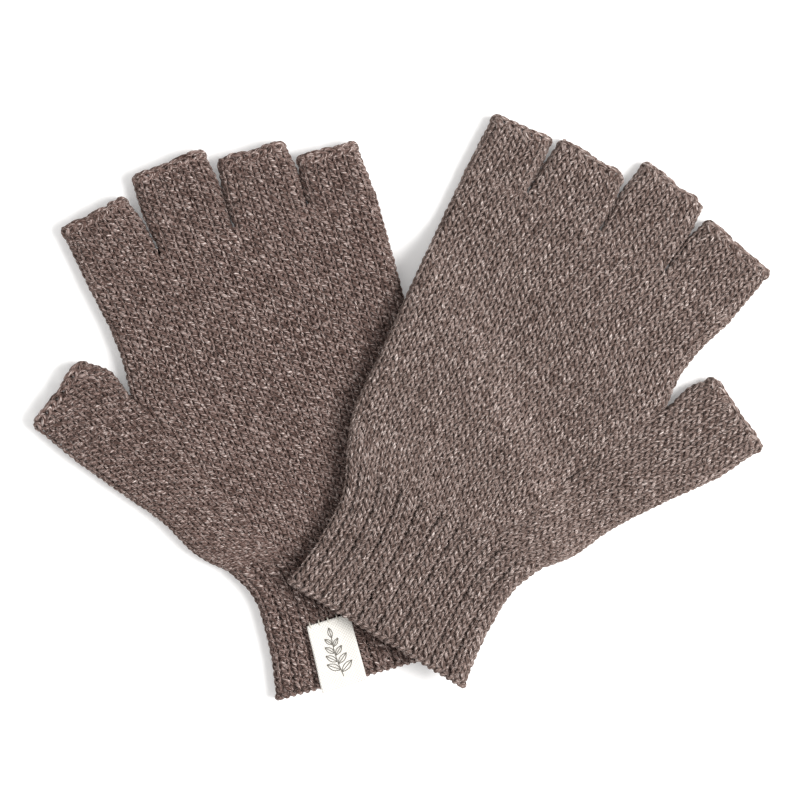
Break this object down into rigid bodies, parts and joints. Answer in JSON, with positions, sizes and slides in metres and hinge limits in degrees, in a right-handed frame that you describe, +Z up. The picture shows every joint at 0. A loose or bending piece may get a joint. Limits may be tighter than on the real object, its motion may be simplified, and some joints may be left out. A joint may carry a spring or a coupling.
{
  "type": "pair of fingerless gloves",
  "caption": "Pair of knitted wool fingerless gloves with ribbed cuffs, open thumb and finger tubes and a sewn cuff label, laid one on the other.",
  "frame": {"origin": "middle of the pair's outline, on the surface that it lies on", "axes": "+Z up from the surface, +Y from the cuffs towards the fingers, +X towards the right glove's thumb"},
  "size_m": [0.2538, 0.2024, 0.0197],
  "materials": {
    "wool_knit": "heathered brown-grey two-ply wool, stocking stitch and rib",
    "label_tape": "unbleached woven cotton tape",
    "label_thread": "cream sewing thread"
  },
  "bodies": {
    "left_hand": {"left_hand_back": "wool_knit", "left_hand_palm": "wool_knit", "left_thumb_gusset": "wool_knit"},
    "left_cuff": {"left_cuff_rib": "wool_knit", "left_cuff_cast_on_edge": "wool_knit", "left_cuff_label": "label_tape", "left_cuff_label_stitches": "label_thread"},
    "left_little_finger": {"left_little_tube": "wool_knit", "left_little_bound_off_edge": "wool_knit"},
    "left_ring_finger": {"left_ring_tube": "wool_knit", "left_ring_bound_off_edge": "wool_knit"},
    "left_middle_finger": {"left_middle_tube": "wool_knit", "left_middle_bound_off_edge": "wool_knit"},
    "left_index_finger": {"left_index_tube": "wool_knit", "left_index_bound_off_edge": "wool_knit"},
    "left_thumb": {"left_thumb_tube": "wool_knit", "left_thumb_bound_off_edge": "wool_knit"},
    "right_hand": {"right_hand_back": "wool_knit", "right_hand_palm": "wool_knit", "right_thumb_gusset": "wool_knit"},
    "right_cuff": {"right_cuff_rib": "wool_knit", "right_cuff_cast_on_edge": "wool_knit"},
    "right_little_finger": {"right_little_tube": "wool_knit", "right_little_bound_off_edge": "wool_knit"},
    "right_ring_finger": {"right_ring_tube": "wool_knit", "right_ring_bound_off_edge": "wool_knit"},
    "right_middle_finger": {"right_middle_tube": "wool_knit", "right_middle_bound_off_edge": "wool_knit"},
    "right_index_finger": {"right_index_tube": "wool_knit", "right_index_bound_off_edge": "wool_knit"},
    "right_thumb": {"right_thumb_tube": "wool_knit", "right_thumb_bound_off_edge": "wool_knit"}
  },
  "joints": [
    {"name": "left_wrist_fold", "type": "hinge", "parent": "left_hand", "child": "left_cuff", "pos_m": [-0.02426, -0.04488, 0], "axis": [-0.9563, -0.2924, 0], "range_deg": [-60, 0]},
    {"name": "left_little_bend", "type": "hinge", "parent": "left_hand", "child": "left_little_finger", "pos_m": [-0.01974, 0.0686, 0.0094], "axis": [0.9613, 0.2756, 0], "range_deg": [0, 85]},
    {"name": "left_ring_bend", "type": "hinge", "parent": "left_hand", "child": "left_ring_finger", "pos_m": [-0.04341, 0.0622, 0.0094], "axis": [0.9537, 0.3007, 0], "range_deg": [0, 85]},
    {"name": "left_middle_bend", "type": "hinge", "parent": "left_hand", "child": "left_middle_finger", "pos_m": [-0.0689, 0.05462, 0.0094], "axis": [0.9367, 0.3502, 0], "range_deg": [0, 85]},
    {"name": "left_index_bend", "type": "hinge", "parent": "left_hand", "child": "left_index_finger", "pos_m": [-0.09487, 0.04584, 0.0094], "axis": [0.8746, 0.4848, 0], "range_deg": [0, 85]},
    {"name": "left_thumb_bend", "type": "hinge", "parent": "left_hand", "child": "left_thumb", "pos_m": [-0.10225, -0.00765, 0.0094], "axis": [0.5821, 0.8131, 0], "range_deg": [0, 70]},
    {"name": "right_glove_lift", "type": "slide", "parent": "left_hand", "child": "right_hand", "axis": [0, 0, 1], "range_m": [0, 0.12]},
    {"name": "right_wrist_fold", "type": "hinge", "parent": "right_hand", "child": "right_cuff", "pos_m": [0.01548, -0.03514, 0.0197], "axis": [-0.8695, 0.4939, 0], "range_deg": [0, 75]},
    {"name": "right_little_bend", "type": "hinge", "parent": "right_hand", "child": "right_little_finger", "pos_m": [0.03143, 0.07575, 0.0094], "axis": [0.9018, -0.4321, 0], "range_deg": [0, 85]},
    {"name": "right_ring_bend", "type": "hinge", "parent": "right_hand", "child": "right_ring_finger", "pos_m": [0.05407, 0.06438, 0.0094], "axis": [0.8695, -0.4939, 0], "range_deg": [0, 85]},
    {"name": "right_middle_bend", "type": "hinge", "parent": "right_hand", "child": "right_middle_finger", "pos_m": [0.07795, 0.05174, 0.0094], "axis": [0.8425, -0.5388, 0], "range_deg": [0, 85]},
    {"name": "right_index_bend", "type": "hinge", "parent": "right_hand", "child": "right_index_finger", "pos_m": [0.1012, 0.03761, 0.0094], "axis": [0.7649, -0.6441, 0], "range_deg": [0, 85]},
    {"name": "right_thumb_bend", "type": "hinge", "parent": "right_hand", "child": "right_thumb", "pos_m": [0.10031, -0.01214, 0.0094], "axis": [0.565, -0.8251, 0], "range_deg": [0, 70]}
  ]
}
